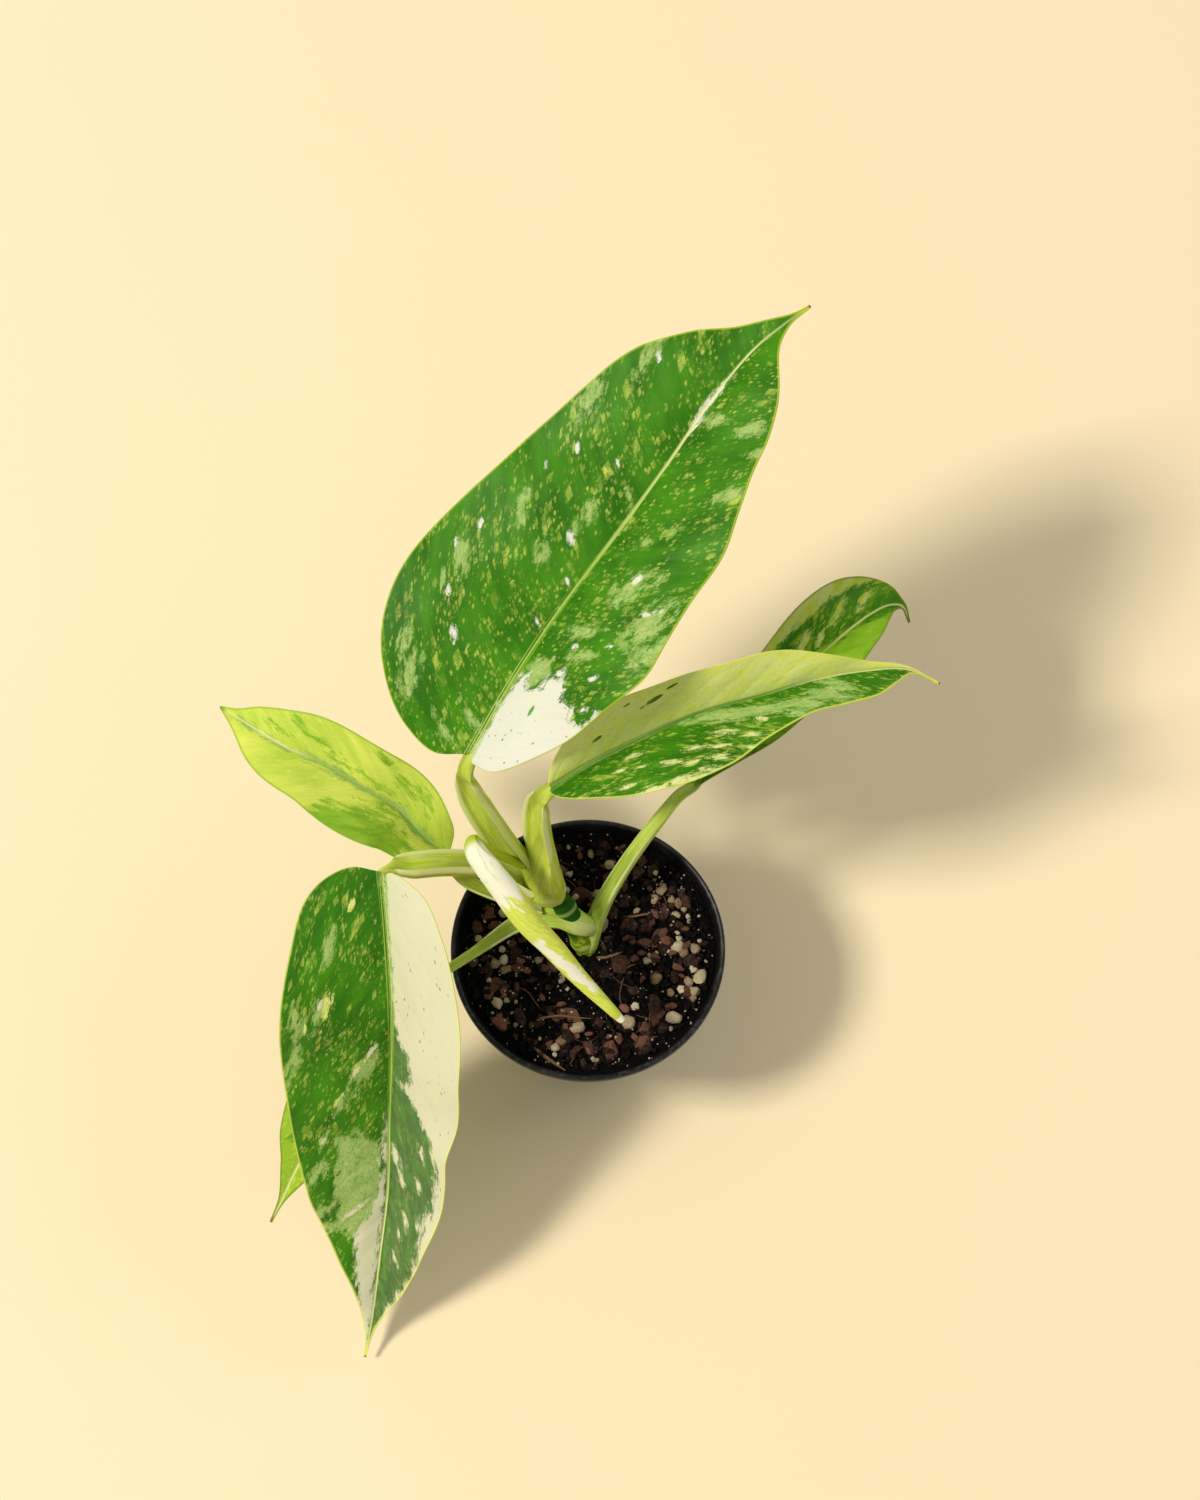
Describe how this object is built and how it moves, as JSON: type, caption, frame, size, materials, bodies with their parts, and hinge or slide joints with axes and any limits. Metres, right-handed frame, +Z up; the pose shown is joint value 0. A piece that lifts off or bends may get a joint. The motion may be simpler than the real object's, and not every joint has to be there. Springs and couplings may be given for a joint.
{
  "type": "potted variegated philodendron",
  "caption": "Young variegated philodendron with broad, folded and hanging leaves on sheathed stalks and one rolled new leaf, growing in bark mix in a plastic nursery pot.",
  "frame": {"origin": "centre of the pot's flat base, on the surface that the pot stands on", "axes": "+Z is up; +Y is the back of the plant, where its largest leaf points; +X is to the right, where the folded leaf points"},
  "size_m": [0.2745, 0.3598, 0.2581],
  "materials": {
    "pot_plastic": "thin black moulded plastic, satin, grey where the lip catches the light",
    "potting_mix": "near-black mix of coir, red-brown bark chips and cream pumice",
    "stem": "smooth dark green skin",
    "leaf_green": "satin deep green with cream flecks and one white sector at the base",
    "leaf_two_tone": "satin, one half pale yellow-green and the other deep green with cream flecks",
    "leaf_mottled": "satin, dark green streaked with light green",
    "leaf_yellow": "satin yellow-green with green and grey-green streaks",
    "leaf_half_cream": "satin, one half cream white and the other deep green with pale flecks",
    "leaf_lime": "satin bright yellow-green",
    "leaf_rolled": "soft matt white and yellow-green"
  },
  "bodies": {
    "root": {"pot": "pot_plastic", "soil": "potting_mix", "stem": "stem", "leaf_large_back": "leaf_green", "leaf_folded_right": "leaf_two_tone", "leaf_small_right": "leaf_mottled", "leaf_yellow_left": "leaf_yellow", "leaf_hanging_front": "leaf_half_cream", "leaf_small_front": "leaf_lime", "leaf_rolled": "leaf_rolled"}
  },
  "joints": []
}
